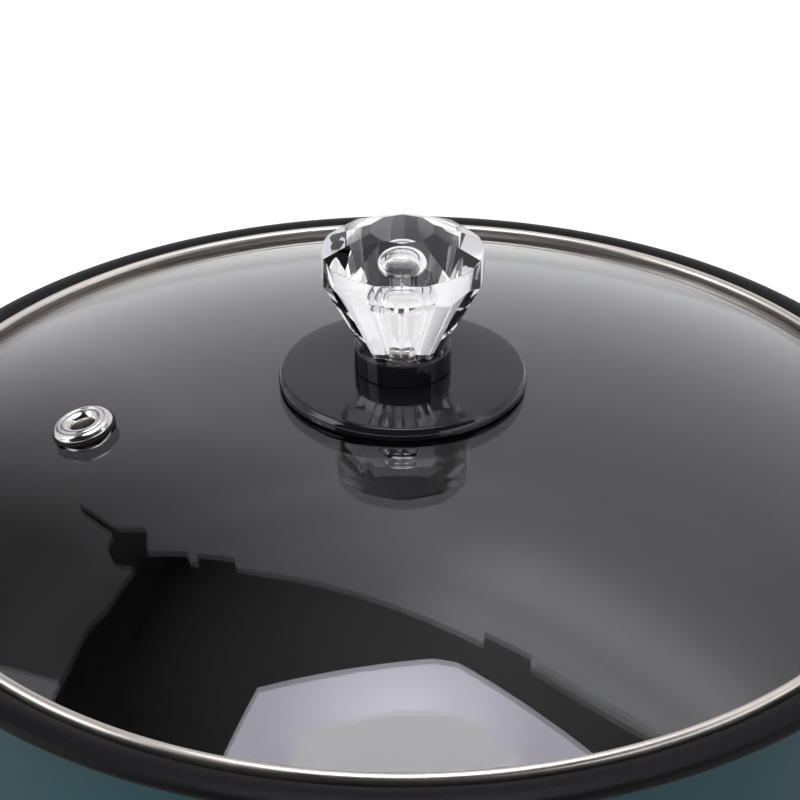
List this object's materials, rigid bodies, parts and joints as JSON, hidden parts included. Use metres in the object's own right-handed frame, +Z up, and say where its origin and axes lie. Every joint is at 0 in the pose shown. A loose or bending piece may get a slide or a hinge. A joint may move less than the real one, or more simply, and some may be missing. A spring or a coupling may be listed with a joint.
{
  "type": "electric hot pot",
  "caption": "Round electric hot pot with a domed glass lift-off lid, cut-crystal knob, side handles and a front dial.",
  "frame": {"origin": "centre of the footprint on the surface that the feet stand on", "axes": "+Z up along the pot's axis, -Y towards the user and the dial, +X to the user's right"},
  "size_m": [0.384, 0.336, 0.1986],
  "materials": {
    "pot_coating": "dark non-stick coating over cast aluminium, fine speckle",
    "shell_teal": "satin teal-grey enamel on steel sheet",
    "trim_black": "fine-grained black moulded plastic",
    "dial_black": "satin black moulded plastic with a polished face",
    "lid_glass": "clear tempered float glass, polished",
    "lid_steel": "circumferentially brushed stainless steel",
    "eyelet_steel": "polished stainless steel",
    "crystal": "clear cut acrylic, polished facets",
    "knob_black": "high-gloss black moulding",
    "silicone": "dark silicone, matt",
    "foot_rubber": "black rubber, matt",
    "bright_trim": "bright plated ring",
    "steel_plain": "plain zinc-plated steel",
    "brass_plain": "turned brass",
    "heater_alloy": "raw cast aluminium",
    "element_sheath": "heat-darkened steel sheath",
    "shield_bright": "bright aluminium sheet",
    "ceramic_white": "unglazed white ceramic",
    "lens_amber": "translucent amber lens",
    "lamp_clear": "small glowing lamp"
  },
  "bodies": {
    "base": {"inner_pot": "pot_coating", "outer_shell": "shell_teal", "side_handle_right": "trim_black", "side_handle_left": "trim_black", "handle_plates": "steel_plain", "handle_screws": "steel_plain", "base_cover": "trim_black", "rubber_feet": "foot_rubber", "pot_studs": "steel_plain", "shield_spacers": "steel_plain", "base_spacers": "steel_plain", "base_nuts": "steel_plain", "heat_shield": "shield_bright", "heater_plate": "heater_alloy", "heater_tube": "element_sheath", "heater_terminals": "steel_plain", "sensor_bulb": "brass_plain", "bulb_clip": "steel_plain", "thermal_fuse": "steel_plain", "fuse_clip": "steel_plain", "earth_stud": "brass_plain", "control_housing": "trim_black", "housing_screws": "steel_plain", "dial_bezel": "bright_trim", "thermostat_body": "steel_plain", "thermostat_nut": "brass_plain", "capillary_tube": "brass_plain", "indicator_lens": "lens_amber", "indicator_lamp": "lamp_clear", "inlet_housing": "trim_black", "rear_pod_screws": "steel_plain", "power_inlet": "trim_black", "inlet_pins": "brass_plain", "inlet_screws": "steel_plain", "terminal_block": "ceramic_white"},
    "lid": {"lid_glass": "lid_glass", "lid_ring": "lid_steel", "vent_eyelet": "eyelet_steel", "vent_gasket": "silicone", "disc_gasket": "silicone", "knob_disc": "knob_black", "knob_collar": "knob_black", "knob_crystal": "crystal", "knob_insert": "eyelet_steel", "under_gasket": "silicone", "knob_washer": "steel_plain", "knob_screw": "steel_plain"},
    "dial": {"control_dial": "dial_black", "thermostat_spindle": "steel_plain"}
  },
  "joints": [
    {"name": "lid_lift", "type": "slide", "parent": "base", "child": "lid", "axis": [0, 0, 1], "range_m": [0, 0.15]},
    {"name": "dial_turn", "type": "hinge", "parent": "base", "child": "dial", "pos_m": [0, -0.15598, 0.048], "axis": [0, 1, 0], "range_deg": [0, 270]}
  ]
}
